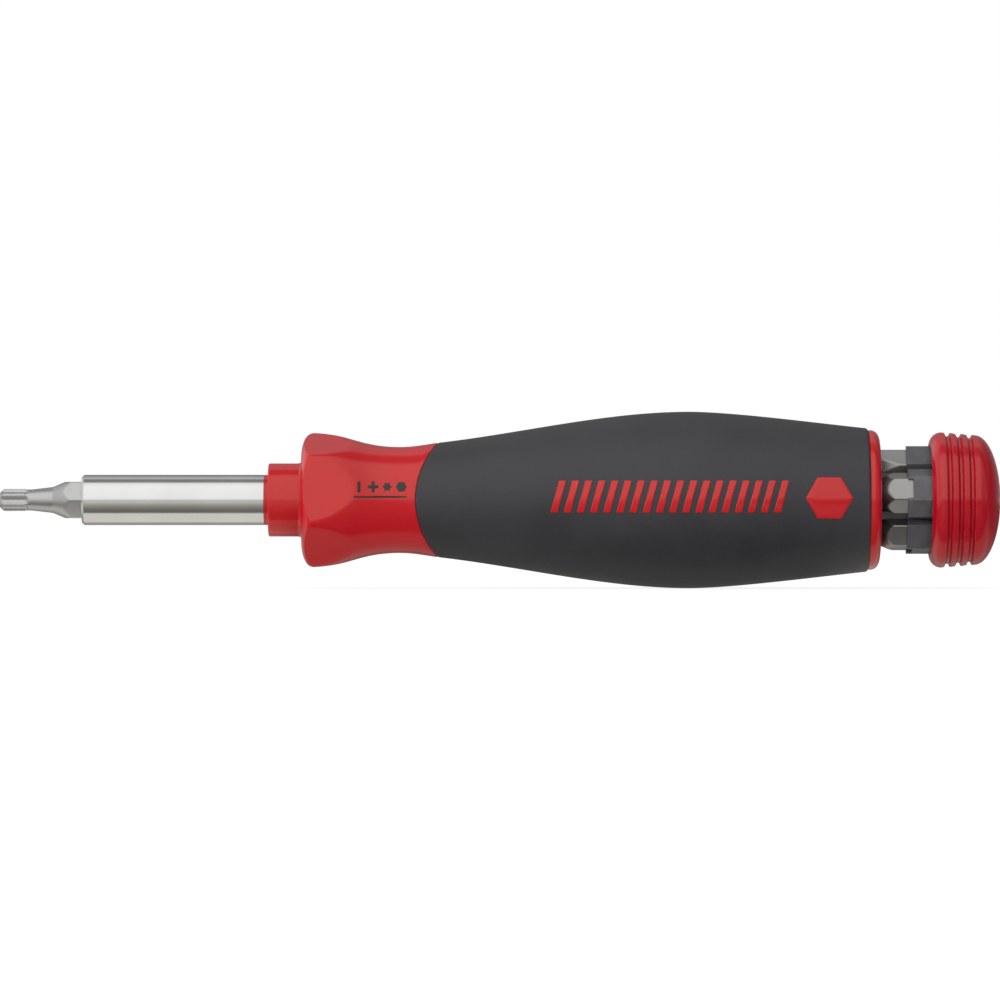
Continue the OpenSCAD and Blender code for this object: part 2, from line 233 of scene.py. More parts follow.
def grain_effect():
    """Fine spark-eroded grain of a mould, and a slow mottle over it."""
    sizes = {"Grain": 4000.0, "Patch": 60.0}
    pit_depth = 0.6
    tree, given, result, place = effect("mould_grain", sizes, ("Height", "Mottle"))
    pits = add(tree, "ShaderNodeTexVoronoi", {"feature": "SMOOTH_F1"}, Vector=place, Scale=given["Grain"])
    dust = noise(tree, place, given["Grain"], 3.0)
    patch = noise(tree, place, given["Patch"], 4.0)
    height = reckon(tree, "MULTIPLY_ADD", pits.outputs["Distance"], pit_depth, dust)
    tree.links.new(height, result["Height"])
    tree.links.new(share_of(tree, patch, 0.3, 0.7), result["Mottle"])
    return tree


def rubbed_effect():
    """Mask of the outer edges that hands and pockets have rubbed."""
    start = 0.52
    tree, given, result, place = effect("rubbed_edges", {"Reach": 0.08, "Patch": 500.0}, ("Mask",))
    point = add(tree, "ShaderNodeNewGeometry").outputs["Pointiness"]
    edge = share_of(tree, point, start, reckon(tree, "ADD", start, given["Reach"]))
    patchy = share_of(tree, noise(tree, place, given["Patch"], 4.0), 0.35, 0.6)
    tree.links.new(reckon(tree, "MULTIPLY", edge, patchy), result["Mask"])
    return tree


mould_grain = grain_effect()
rubbed_edges = rubbed_effect()


def surfaced(name, group, share, tones, rough, reach, strength, depth, **sizes):
    """A material whose tone and gloss vary by a group's share, with its relief and rubbed edges."""
    dark, light, rubbed = tones
    material = bpy.data.materials.new(name)
    material.use_nodes = True
    tree = material.node_tree
    shader = tree.nodes["Principled BSDF"].inputs
    surface = add(tree, "ShaderNodeGroup", {"node_tree": group}, **sizes).outputs
    wear = add(tree, "ShaderNodeGroup", {"node_tree": rubbed_edges}, Reach=reach).outputs
    tone = blend_colour(tree, surface[share], dark, light)
    relief = add(tree, "ShaderNodeBump", Height=surface["Height"], Strength=strength, Distance=depth)
    tree.links.new(blend_colour(tree, wear["Mask"], tone, rubbed), shader["Base Color"])
    tree.links.new(span(tree, surface[share], *rough), shader["Roughness"])
    tree.links.new(relief.outputs["Normal"], shader["Normal"])
    return material, shader


def moulded(name, dark, light, rubbed, rough, grain, depth, patch=60.0, gleam=(1.0, 1.0, 1.0)):
    """Moulded plastic or rubber: grain in its relief, mottle in its tone, rubbed outer edges."""
    material, shader = surfaced(name, mould_grain, "Mottle", (dark, light, rubbed), rough, reach=0.08,
                                strength=0.35, depth=depth, Grain=grain, Patch=patch)
    shader["Specular Tint"].default_value = (*gleam, 1)
    return material


# A yellowish tint on the red plastics' reflections: a painted warm cast in their highlights, as of warm
# light.
PAINTED_WARM_GLEAM = (1.0, 1.0, 0.8)
red_plastic = moulded("red_plastic", (0.445, 0.004, 0.0115), (0.49, 0.006, 0.0145), (0.54, 0.014, 0.022),
                      rough=(0.11, 0.16), grain=5000.0, depth=0.00001, gleam=PAINTED_WARM_GLEAM)


def settle(piece, body, slot, *nodes):
    """Puts a finished piece in place of its CAD nodes, on its body."""
    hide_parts(*nodes)
    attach(piece, body)


TONGUE_X = 58.4
TONGUE_R = 15.1
LEAN_L = 17.0


def grip_front(turn, radius):
    """X of the tongue-shaped front edge of the grip at each direction."""
    x = np.full(turn.shape, TONGUE_X)
    for _ in range(30):
        height = body_r(x) * np.cos(turn)
        x = TONGUE_X + TONGUE_R - np.sqrt(radius**2 - height**2)
    return x


def leant(x, front):
    """Places behind the tongue that follow its edge, less and less to the rear."""
    return x + (front - TONGUE_X) * np.clip(1 - (x - TONGUE_X) / LEAN_L, 0, 1)


STOP_AF = 21.0
STOP_TURN = 80.4
STOP_EDGE = 0.3


def stop_turns():
    """Directions round the core, closer together at the six corners of the roll stop."""
    offsets = (-30, -29.2, -28.4, -27.4, -26, -24, -21, -17, -13, -9, -4.5, 0)
    offsets += tuple(-o for o in offsets[-2:0:-1])
    return np.radians((STOP_TURN + 60 * np.arange(6)[:, None] + np.array(offsets)).ravel())


SEAT_AF = 6.45
SEAT_X = 74.42
EAR_START = 59.38
EAR_END = 70.42
EAR_REACH = 6.22
EAR_HALF = 1.22
STEM_SEAT_X = 45.62


def seat_rings(turn):
    """Rings of the hollow for the shank and its two ears, from its bottom to the sleeve's end."""
    tiny = 1e-6
    hexagon = polygon_r(turn, SEAT_AF, 6)
    reach = EAR_REACH / np.maximum(np.abs(np.cos(turn)), tiny)
    width = EAR_HALF / np.maximum(np.abs(np.sin(turn)), tiny)
    eared = np.maximum(hexagon, np.minimum(reach, width))
    sections = [(SEAT_X, 0 * turn), (SEAT_X, hexagon), (EAR_END, hexagon), (EAR_END, eared),
                (EAR_START, eared), (EAR_START, hexagon), (STEM_SEAT_X, hexagon)]
    return [ring(turn, x, r) for x, r in sections]


STEM_SEAT_R = 4.224
NOSE_LIP_X = 31.9
SLEEVE_R = 4.404
COLLAR_X = 32.6
COLLAR_R = 6.4
STOP_X = 38.4
STOP_FACE_R = 8.0
STOP_ROUND = (2.2, 3.9)
NECK_LEAN_X = 50.0
FRONT_BREAK = 0.16
RING_SEAT_X = 131.08
RING_SEAT_R = 10.394
BORE_X = 92.3
BORE_R = 9.774


def core_rings():
    """Rings from the bottom of the shank's seat, over the outside, to the bottom of the rear bore."""
    turn = stop_turns()
    flats = polygon_r(turn, STOP_AF, 6, math.radians(STOP_TURN))
    rings = seat_rings(turn)
    nose = eased([
        (STEM_SEAT_X, STEM_SEAT_R, 0), (NOSE_LIP_X, STEM_SEAT_R, 0.06), (NOSE_LIP_X, SLEEVE_R, 0.08),
        (COLLAR_X, SLEEVE_R, 0.1), (COLLAR_X, COLLAR_R, 0.35), (STOP_X, COLLAR_R, 0.8),
        (STOP_X, STOP_FACE_R, 0)], steps=6)
    face = arc((STOP_TOP[0], STOP_FACE_R), *STOP_ROUND, -90, 0, 22)
    for x, r in np.vstack([nose, face[1:]]):
        rings.append(ring(turn, x, soft_min(r, flats, STOP_EDGE)))
    front = grip_front(turn, TONGUE_R)
    behind_stop = np.arange(40.8, NECK_LEAN_X, 0.3)
    before_grip = np.arange(NECK_LEAN_X, 58.0, 0.55)
    for x in np.concatenate([behind_stop, before_grip]):
        share = np.clip((x - NECK_LEAN_X) / (TONGUE_X - NECK_LEAN_X), 0, 1) ** 2
        place = x + (front - TONGUE_X) * share
        rings.append(ring(turn, place, soft_min(body_r(place), flats, STOP_EDGE)))
    rings += round_rings(turn, front, body_r(front), FRONT_BREAK, (0, 30, 60, 90), -1)
    for x in np.linspace(TONGUE_X, TAIL_X, 40):
        place = leant(x, front)
        rings.append(ring(turn, place, body_r(place) - GRIP_T))
    bore = eased([
        (TAIL_X, TAPER[1] - GRIP_T, 0), (TAIL_X, RING_SEAT_R, 0.1), (RING_SEAT_X, RING_SEAT_R, 0),
        (RING_SEAT_X, BORE_R, 0.1), (BORE_X, BORE_R, 0.3), (BORE_X, 0, 0)])
    return rings + [ring(turn, x, r) for x, r in bore]


core = skin("core", core_rings())
core.data.materials.append(red_plastic)
settle(core, "handle", "red_plastic", "handle_core")


# Soft grip
# Matt black rubber moulded over the barrel as a second shot. It ends in a round tongue on each
# side at the front, and lies flush with the red body; its rear edge is rounded.

GRIP_GAP = 0.02
GRIP_FRONT_ROUND = 0.2
GRIP_TAIL_ROUND = 0.5
black_rubber = moulded("black_rubber", (0.0225, 0.022, 0.0255), (0.0325, 0.032, 0.036), (0.05, 0.05, 0.053),
                       rough=(0.52, 0.64), grain=3600.0, depth=0.00005, patch=90.0)


def grip_rings():
    """Rings round the wall of the grip: front edge, outside, rear edge and inside."""
    turn = np.radians(np.arange(0, 360, 2.0))
    front = grip_front(turn, TONGUE_R - GRIP_GAP)
    rings = round_rings(turn, front, body_r(front), GRIP_FRONT_ROUND, (90, 60, 30, 0), 1)
    by_the_edge = TONGUE_X + np.array([0.35, 0.6, 1.0])
    along = np.linspace(60.1, TAIL_X - GRIP_TAIL_ROUND - 0.3, 110)
    for x in np.concatenate([by_the_edge, along]):
        place = leant(x, front)
        rings.append(ring(turn, place, body_r(place)))
    rings += round_rings(turn, TAIL_X, body_r(TAIL_X), GRIP_TAIL_ROUND, (0, 18, 36, 54, 72, 90), -1)
    for x in np.linspace(TAIL_X, TONGUE_X, 40):
        place = leant(x, front)
        rings.append(ring(turn, place, body_r(place) - GRIP_T + GRIP_GAP))
    return rings


grip = skin("grip", grip_rings(), wrap=True)
grip.data.materials.append(black_rubber)
settle(grip, "handle", "black_rubber", "soft_grip")


# Grip windows
# Plain slanted bars and one six-sided field of the red body, which stand through openings in the
# soft grip on the side that faces the viewer, a touch above its skin.


def group_inputs(tree, inputs):
    """Named inputs on a geometry tree; gives their sockets and the identifiers by name."""
    tree.interface.new_socket("Geometry", in_out="OUTPUT", socket_type="NodeSocketGeometry")
    names = {}
    for label, kind in inputs.items():
        names[label] = tree.interface.new_socket(label, in_out="INPUT", socket_type=kind).identifier
    return tree.nodes.new("NodeGroupInput").outputs, names


def axes(tree, vector):
    """The X, Y and Z of a vector, as output sockets by name."""
    return add(tree, "ShaderNodeSeparateXYZ", Vector=vector).outputs


def finished(tree, geometry, finish):
    """Ends a geometry tree: gives the geometry its material and puts it out."""
    dressed = add(tree, "GeometryNodeSetMaterial", Geometry=geometry, Material=finish)
    result = tree.nodes.new("NodeGroupOutput")
    tree.links.new(dressed.outputs[0], result.inputs[0])


def row_tree():
    """Repeats a flat piece in a row along X and lays it on a handle piece, from the viewer's side."""
    clear_y = -0.05
    ray_l = 0.1
    tree = bpy.data.node_groups.new("laid_row", "GeometryNodeTree")
    value, names = group_inputs(tree, {
        "Base": "NodeSocketObject", "Window": "NodeSocketObject", "Count": "NodeSocketInt",
        "First": "NodeSocketFloat", "Pitch": "NodeSocketFloat", "Height": "NodeSocketFloat",
        "Proud": "NodeSocketFloat", "Sunk": "NodeSocketFloat", "Finish": "NodeSocketMaterial"})
    start = add(tree, "ShaderNodeCombineXYZ", X=value["First"], Z=value["Height"])
    step = add(tree, "ShaderNodeCombineXYZ", X=value["Pitch"])
    row = add(tree, "GeometryNodeMeshLine", Count=value["Count"], Start_Location=start.outputs[0],
              Offset=step.outputs[0])
    in_place = {"transform_space": "ORIGINAL"}
    shape = add(tree, "GeometryNodeObjectInfo", in_place, Object=value["Window"])
    target = add(tree, "GeometryNodeObjectInfo", in_place, Object=value["Base"])
    placed = add(tree, "GeometryNodeInstanceOnPoints", Points=row.outputs[0],
                 Instance=shape.outputs["Geometry"])
    loose = add(tree, "GeometryNodeRealizeInstances", Geometry=placed.outputs[0])
    at = axes(tree, add(tree, "GeometryNodeInputPosition").outputs[0])
    outside = add(tree, "ShaderNodeCombineXYZ", X=at["X"], Y=clear_y, Z=at["Z"])
    hit = add(tree, "GeometryNodeRaycast", {"data_type": "FLOAT"}, Target_Geometry=target.outputs["Geometry"],
              Source_Position=outside.outputs[0], Ray_Direction=(0, 1, 0), Ray_Length=ray_l)
    depth = add(tree, "ShaderNodeMapRange", Value=at["Y"], From_Min=-1.0, From_Max=1.0,
                To_Min=value["Proud"], To_Max=reckon(tree, "MULTIPLY", value["Sunk"], -1.0))
    lift = add(tree, "ShaderNodeVectorMath", {"operation": "SCALE"}, Vector=hit.outputs["Hit Normal"],
               Scale=depth.outputs["Result"])
    spot = add(tree, "ShaderNodeVectorMath", {"operation": "ADD"}, _0=hit.outputs["Hit Position"],
               _1=lift.outputs[0])
    laid = add(tree, "GeometryNodeSetPosition", Geometry=loose.outputs[0], Position=spot.outputs[0])
    finished(tree, laid.outputs[0], value["Finish"])
    return tree, names


laid_row, row_names = row_tree()


def flat_window(name, outlines, rows):
    """Thin plates over outlines of (x, z) points in millimetres: y is -1 on top, 1 below."""
    top = [(-1.0, share) for share in np.linspace(0, 0.93, rows)]
    rim = [(-0.9, 0.98), (-0.6, 1.0), (1.0, 1.0)]
    points, faces = [], []
    for outline in outlines:
        outline = np.array(outline, float)
        count = len(outline)
        centre = (outline.min(axis=0) + outline.max(axis=0)) / 2
        for i, (level, share) in enumerate(top + rim):
            base = len(points)
            flat = (centre + (outline - centre) * share) * MM
            points += [(x, level, z) for x, z in flat]
            if i > 0:
                for j in range(count):
                    k = (j + 1) % count
                    faces.append((base - count + j, base - count + k, base + k, base + j))
        faces.append(tuple(range(base, base + count)))
    mesh = bpy.data.meshes.new(name)
    mesh.from_pydata(points, [], faces)
    close_up(mesh)
    return piece_of(name, mesh)


def rounded(corners, radius, steps=4, spacing=0.6):
    """A closed outline of (x, z) points with rounded corners and points along its sides."""
    line = eased([(*c, radius) for c in corners], steps=steps, closed=True)
    dense = []
    for p, q in zip(line, np.roll(line, -1, axis=0)):
        parts = max(1, int(np.linalg.norm(q - p) / spacing))
        dense += [p + (q - p) * t / parts for t in range(parts)]
    return dense


def evaluated(piece):
    """Turns a piece's modifiers into its plain mesh."""
    bpy.context.view_layer.update()
    seen = piece.evaluated_get(bpy.context.evaluated_depsgraph_get())
    mesh = bpy.data.meshes.new_from_object(seen)
    piece.modifiers.clear()
    piece.data = mesh


def shaped_by(piece, tree, names, values):
    """Runs a geometry tree on a piece and keeps the result as its plain mesh."""
    change = piece.modifiers.new(tree.name, "NODES")
    change.node_group = tree
    for label, value in values.items():
        change[names[label]] = value
    evaluated(piece)
    close_up(piece.data)


def lay(name, base, window, finish, first, height, proud, count=1, pitch=0.0):
    """A row of one window on a piece of the handle, as a piece of its own."""
    sunk = 4 * proud
    piece = piece_of(name, bpy.data.meshes.new(name))
    shaped_by(piece, laid_row, row_names, {
        "Base": base, "Window": window, "Count": count, "First": first * MM, "Pitch": pitch * MM,
        "Height": height * MM, "Proud": proud * MM, "Sunk": sunk * MM, "Finish": finish})
    bpy.data.objects.remove(window)
    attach(piece, "handle")


BAR_H = 5.6
BAR_W = 1.25
BAR_LEAN = 0.75
bar = rounded([(-BAR_W / 2 - BAR_LEAN, -BAR_H / 2), (BAR_W / 2 - BAR_LEAN, -BAR_H / 2),
               (BAR_W / 2 + BAR_LEAN, BAR_H / 2), (-BAR_W / 2 + BAR_LEAN, BAR_H / 2)], radius=0.25)
lay("grip_bars", grip, flat_window("bar", [bar], rows=3), red_plastic, first=83.2, height=0.6,
    proud=0.12, count=18, pitch=2.27)

FIELD_R = 4.15
field = rounded([(FIELD_R * math.cos(math.radians(a)), FIELD_R * math.sin(math.radians(a)))
                 for a in range(0, 360, 60)], radius=0.35)
lay("grip_field", grip, flat_window("field", [field], rows=8), red_plastic, first=130.15,
    height=0.35, proud=0.14)


# Neck print
# Signs of the four stored tips, pad-printed in black ink on the side of the red neck: slotted, cross,
# six-lobe and hexagon, over a thin rule.

SIGN_R = 0.95
SIGN_PITCH = 2.45
STROKE = 0.27
STAR_DIP = 0.55
RULE_HALF = (4.6, 0.14)
RULE_AT = (3.68, -1.75)
print_ink = moulded("print_ink", (0.010, 0.009, 0.010), (0.016, 0.015, 0.016), (0.03, 0.02, 0.02),
                    rough=(0.34, 0.46), grain=6000.0, depth=0.00001)


def sign(place, corners, radius=0.08):
    """One sign's outline, in its place along the row."""
    return [(x + SIGN_PITCH * place, z) for x, z in rounded(corners, radius, steps=3, spacing=0.3)]


def polar(radii):
    """Corners at even turns, with their radii in order."""
    turns = 2 * math.pi * np.arange(len(radii)) / len(radii)
    return [(r * math.cos(t), r * math.sin(t)) for r, t in zip(radii, turns)]


def oblong(half_x, half_z, x=0.0, z=0.0):
    """Corners of a bar about (x, z)."""
    return [(x - half_x, z - half_z), (x + half_x, z - half_z),
            (x + half_x, z + half_z), (x - half_x, z + half_z)]


arm = [(SIGN_R, -STROKE), (SIGN_R, STROKE), (STROKE, STROKE)]
plus = []
for c, s in ((1, 0), (0, 1), (-1, 0), (0, -1)):
    plus += [(c * x - s * z, s * x + c * z) for x, z in arm]
signs = [
    sign(0, oblong(STROKE, SIGN_R)),
    sign(1, plus),
    sign(2, polar([SIGN_R, STAR_DIP * SIGN_R] * 6), radius=0.15),
    sign(3, polar([SIGN_R] * 6)),
    rounded(oblong(*RULE_HALF, *RULE_AT), radius=0.05, spacing=0.3)]
lay("neck_print", core, flat_window("signs", signs, rows=3), print_ink, first=48.6,
    height=2.3, proud=0.03)


# Rear ring
# A red plastic ring glued into the tail of the core. Its rim covers the end of the grip, and its
# inner land stops the magazine from coming right out.


def turned_tree():
    """Turns an outline about X. Points may be milled to flats, ground to wings or fluted to lobes."""
    least_slope = 0.001
    tree = bpy.data.node_groups.new("turned_piece", "GeometryNodeTree")
    value, names = group_inputs(tree, {
        "Outline": "NodeSocketGeometry", "Sides": "NodeSocketInt", "Crowding": "NodeSocketFloat",
        "Flats": "NodeSocketInt", "Wings": "NodeSocketInt", "Soft Edge": "NodeSocketFloat",
        "Flute Place": "NodeSocketFloat", "Flute Radius": "NodeSocketFloat", "Finish": "NodeSocketMaterial"})
    outline = value["Outline"]
    count = add(tree, "GeometryNodeAttributeDomainSize", Geometry=outline).outputs["Point Count"]
    grid = add(tree, "GeometryNodeMeshGrid", Size_X=1.0, Size_Y=1.0, Vertices_Y=count,
               Vertices_X=reckon(tree, "ADD", value["Sides"], 1.0))
    position = add(tree, "GeometryNodeInputPosition").outputs[0]
    cell = axes(tree, position)
    even = reckon(tree, "MULTIPLY", reckon(tree, "ADD", cell["X"], 0.5), 2 * math.pi)
    wave = reckon(tree, "SINE", reckon(tree, "MULTIPLY", even, value["Flats"]))
    crowd = reckon(tree, "DIVIDE", value["Crowding"], value["Flats"])
    turn = reckon(tree, "MULTIPLY_ADD", wave, crowd, even)
    last = reckon(tree, "SUBTRACT", count, 1.0)
    index = reckon(tree, "ROUND", reckon(tree, "MULTIPLY", reckon(tree, "ADD", cell["Y"], 0.5), last))

    def read(kind, field):
        return add(tree, "GeometryNodeSampleIndex", {"data_type": kind}, Geometry=outline, Value=field,
                   Index=index).outputs[0]

    def named(label):
        field = add(tree, "GeometryNodeInputNamedAttribute", {"data_type": "FLOAT"}, Name=label)
        return read("FLOAT", field.outputs[0])

    def from_nearest(sides, halfway=0.0):
        step = reckon(tree, "DIVIDE", math.pi, sides)
        away = reckon(tree, "MULTIPLY_ADD", step, halfway, turn)
        return reckon(tree, "WRAP", away, step, reckon(tree, "MULTIPLY", step, -1.0))

    point = axes(tree, read("FLOAT_VECTOR", position))
    flat = reckon(tree, "DIVIDE", named("across"), reckon(tree, "COSINE", from_nearest(value["Flats"])))
    slope = reckon(tree, "ABSOLUTE", reckon(tree, "SINE", from_nearest(value["Wings"])))
    wing = reckon(tree, "DIVIDE", named("wing"), reckon(tree, "MAXIMUM", slope, least_slope))
    half_flat = reckon(tree, "MULTIPLY", flat, 0.5)
    milled = reckon(tree, "SMOOTH_MIN", point["X"], half_flat, value["Soft Edge"])
    ground = reckon(tree, "SMOOTH_MIN", milled, wing, value["Soft Edge"])
    lobe = named("lobe")
    place = reckon(tree, "MULTIPLY", lobe, value["Flute Place"])
    beside = from_nearest(value["Flats"], 1.0)
    side = reckon(tree, "MULTIPLY", place, reckon(tree, "SINE", beside))
    cutter = reckon(tree, "MULTIPLY", lobe, value["Flute Radius"])
    cutter_square = reckon(tree, "MULTIPLY", cutter, cutter)
    inside = reckon(tree, "SUBTRACT", cutter_square, reckon(tree, "MULTIPLY", side, side))
    reach = reckon(tree, "SQRT", reckon(tree, "MAXIMUM", inside, 0.0))
    middle = reckon(tree, "MULTIPLY", place, reckon(tree, "COSINE", beside))
    flute = reckon(tree, "SUBTRACT", middle, reach)
    radius = reckon(tree, "SMOOTH_MIN", ground, flute, value["Soft Edge"])
    to_viewer = reckon(tree, "MULTIPLY", reckon(tree, "SINE", turn), -1.0)
    across_y = reckon(tree, "MULTIPLY", radius, to_viewer)
    up_z = reckon(tree, "MULTIPLY", radius, reckon(tree, "COSINE", turn))
    spot = add(tree, "ShaderNodeCombineXYZ", X=point["Y"], Y=across_y, Z=up_z)
    shaped = add(tree, "GeometryNodeSetPosition", Geometry=grid.outputs["Mesh"], Position=spot.outputs[0])
    whole = add(tree, "GeometryNodeRealizeInstances", Geometry=shaped.outputs[0])
    finished(tree, whole.outputs[0], value["Finish"])
    return tree, names


turned_piece, turned_names = turned_tree()
NO_CUT = 1000.0
FLATS = 6
FLUTE_PLACE = 1.14
FLUTE_R = 0.42


def turned(name, outline, finish, cuts=None, sides=96, crowding=0.0, wings=4, soft=0.04, closed=False):
    """A turned piece from (x, r) points.

    Cuts hold the width across flats, half the width of wings and the radius of lobes at each point.
    """
    outline = np.array(outline, float)
    cuts = {label: np.full(len(outline), NO_CUT) for label in ("across", "wing", "lobe")} | (cuts or {})
    if closed:
        outline = np.vstack([outline, outline[:1]])
        cuts = {label: np.append(values, values[0]) for label, values in cuts.items()}
    mesh = bpy.data.meshes.new(name)
    edges = [(i, i + 1) for i in range(len(outline) - 1)]
    mesh.from_pydata([(r * MM, x * MM, 0) for x, r in outline], edges, [])
    for label, values in cuts.items():
        mesh.attributes.new(label, "FLOAT", "POINT").data.foreach_set("value", values * MM)
    piece = piece_of(name, mesh)
    shaped_by(piece, turned_piece, turned_names, {
        "Sides": sides, "Crowding": crowding, "Flats": FLATS, "Wings": wings, "Soft Edge": soft * MM,
        "Flute Place": FLUTE_PLACE, "Flute Radius": FLUTE_R, "Finish": finish})
    return piece


LAND_X = 131.1
LAND_END = 135.1
LAND_R = 9.124
SPIGOT_R = 10.374
RIM_X = 137.42
RIM_R = 12.214
RIM_ROUND_AT = (137.9, 10.441)
RIM_ROUND = (1.5, 1.773)
RIM_END = 139.4
MOUTH_R = 9.741
MOUTH_BREAK = 0.4
ring_outline = np.vstack([
    eased([(LAND_END, LAND_R, 0), (LAND_X, LAND_R, 0.15), (LAND_X, SPIGOT_R, 0.15), (RIM_X, SPIGOT_R, 0.05),
           (RIM_X, RIM_R, 0.1), (RIM_ROUND_AT[0], RIM_R, 0)])[1:-1],
    arc(RIM_ROUND_AT, *RIM_ROUND, 0, 90, 14),
    eased([(RIM_END, RIM_ROUND_AT[1], 0), (RIM_END, MOUTH_R + MOUTH_BREAK, 0.08),
           (RIM_END - MOUTH_BREAK, MOUTH_R, 0.12), (LAND_END, MOUTH_R, 0.1), (LAND_END, LAND_R, 0.1),
           (LAND_X, LAND_R, 0)])[1:-1]])
rear_ring = turned("tail_ring", ring_outline, red_plastic, sides=144, closed=True)
settle(rear_ring, "handle", "red_plastic", "rear_ring")


# Bit holder
# A polished stainless tube with a hexagon bore, pressed into the handle's collar. A hexagon shank
# with two ears locks it inside, and a round magnet at the bottom of the bore holds the bit.


def marks_effect():
    """Fine lines left round a turned or ground piece, and slow smears along it."""
    sizes = {"Lines": 9000.0, "Round": 150.0, "Smear": 120.0}
    tree, given, result, place = effect("tool_marks", sizes, ("Height", "Smear"))
    pitch = add(tree, "ShaderNodeCombineXYZ", X=given["Lines"], Y=given["Round"], Z=given["Round"])
    stretched = add(tree, "ShaderNodeVectorMath", {"operation": "MULTIPLY"}, _0=place, _1=pitch.outputs[0])
    smear = noise(tree, place, given["Smear"], 5.0)
    tree.links.new(noise(tree, stretched.outputs[0], 1.0, 2.0), result["Height"])
    tree.links.new(share_of(tree, smear, 0.3, 0.7), result["Smear"])
    return tree


tool_marks = marks_effect()
EDGE_GAIN = 1.12


def steel(name, dark, light, rough, lines, depth, rounds=150.0):
    """Metal with fine tool marks, smears in its gloss and bright rubbed edges."""
    bright = tuple(min(1.0, EDGE_GAIN * c) for c in light)
    material, shader = surfaced(name, tool_marks, "Smear", (dark, light, bright), rough, reach=0.1,
                                strength=0.25, depth=depth, Lines=lines, Round=rounds)
    shader["Metallic"].default_value = 1.0
    return material


stainless_steel = steel("stainless_steel", (0.56, 0.557, 0.548), (0.61, 0.607, 0.598), rough=(0.11, 0.16),
                        lines=9000.0, depth=0.000004)
tool_steel = steel("tool_steel", (0.405, 0.403, 0.399), (0.475, 0.473, 0.469), rough=(0.34, 0.43),
                   lines=5000.0, depth=0.000012, rounds=900.0)
nickel_magnet = steel("nickel_magnet", (0.52, 0.50, 0.46), (0.58, 0.56, 0.52), rough=(0.2, 0.3),
                      lines=2500.0, depth=0.000006)

SOCKET_AF = 6.45
SOCKET_CORNER = SOCKET_AF / math.sqrt(3)
SOCKET_BREAK = (0.25, 0.18)
SLEEVE_BREAK = 0.4
SLEEVE_END = 45.6
STEM_X = 31.88
STEM_R = 4.204
tube = eased([
    (0, SLEEVE_R - SLEEVE_BREAK, 0.05), (SLEEVE_BREAK, SLEEVE_R, 0.08), (STEM_X, SLEEVE_R, 0.06),
    (STEM_X, STEM_R, 0.03), (SLEEVE_END, STEM_R, 0.1), (SLEEVE_END, SOCKET_CORNER, 0),
    (SOCKET_BREAK[0], SOCKET_CORNER, 0), (0, SOCKET_CORNER + SOCKET_BREAK[1], 0.03)], steps=3, closed=True)
tube_flats = np.where(tube[:, 1] < SOCKET_CORNER + 0.01, SOCKET_AF, NO_CUT)
sleeve = turned("sleeve", tube, stainless_steel, {"across": tube_flats}, sides=144, crowding=0.6, soft=0.02,
                closed=True)
settle(sleeve, "handle", "stainless_steel", "holder_sleeve")

MAGNET_X = 10.62
MAGNET_END = 13.12
MAGNET_R = 3.075
disc = eased([(MAGNET_X, 0, 0), (MAGNET_X, MAGNET_R, 0.2), (MAGNET_END, MAGNET_R, 0.2), (MAGNET_END, 0, 0)])
magnet = turned("magnet", disc, nickel_magnet, sides=64)
settle(magnet, "handle", "nickel_magnet", "holder_magnet")

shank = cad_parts["drive_shank"]
shank.data.materials.clear()
shank.data.materials.append(tool_steel)


# Nose bit
# A hardened steel insert bit with a 6.35 mm hexagon shank, a turned shoulder and neck, and a
# six-lobe tip. It stands in the holder's mouth and is pulled out against the magnet.

SOCKET_DEPTH = 10.6
BIT_L = 25
HEX_AF = 6.35
HEX_BREAK = 3.616
END_BREAK = 0.5
SHOULDER_SLOPE = 0.43
FLUTE_RUNOUT = (-20.3, -19.9, -19.89)


def bit_outline(corners):
    """Outline of a bit, dense along its length so that its cuts run out cleanly."""
    spacing = 0.3
    line = eased(corners, steps=3)
    dense = [line[0]]
    for p, q in zip(line[:-1], line[1:]):
        parts = max(1, int(abs(q[0] - p[0]) / spacing))
        dense += [p + (q - p) * t / parts for t in range(1, parts + 1)]
    return np.array(dense)


def make_bit(name, corners, cuts_at, finish, wings=4):
    """A steel bit with its rear end at x = 0 and its tip at -BIT_L; cuts_at gives its cuts along x."""
    line = bit_outline(corners)
    cuts = {"across": np.full(len(line), HEX_AF)} | cuts_at(line[:, 0])
    return turned(name, line, finish, cuts, sides=180, crowding=0.7, wings=wings, soft=0.06)


def shank_end(root_r, root_x):
    """Corners of the hexagon end of a bit, down its shoulder to the neck's root."""
    shoulder_x = root_x + (HEX_BREAK - root_r) / SHOULDER_SLOPE
    return [(0, 0, 0), (0, HEX_BREAK - END_BREAK, 0.1), (-END_BREAK, HEX_BREAK, 0.1),
            (shoulder_x, HEX_BREAK, 0.15), (root_x, root_r, 0.6)]


def lobe_end(neck_r, lobe_r, tip_r):
    """Corners of a six-lobe tip, from the end of its neck to its face."""
    return [(-19.4, neck_r, 0.5), (-20.4, neck_r, 0.1), (-20.6, lobe_r, 0.1), (-24.3, lobe_r, 0.3),
            (-BIT_L, tip_r, 0.25), (-BIT_L, 0, 0)]


def lobes(lobe_r):
    """Six lobes, whose flutes run out into the neck."""
    return lambda x: {"lobe": np.interp(x, FLUTE_RUNOUT, [lobe_r, 1.5 * lobe_r, NO_CUT])}


NOSE_LOBE_R = 1.93
nose_corners = shank_end(root_r=2.277, root_x=-15.688) + lobe_end(1.843, NOSE_LOBE_R, 1.274)
nose_bit = make_bit("driver_tip", nose_corners, lobes(NOSE_LOBE_R), tool_steel)
nose_bit.data.transform(Matrix.Translation((SOCKET_DEPTH * MM, 0, 0)))
settle(nose_bit, "driver_bit", "tool_steel", "nose_bit")


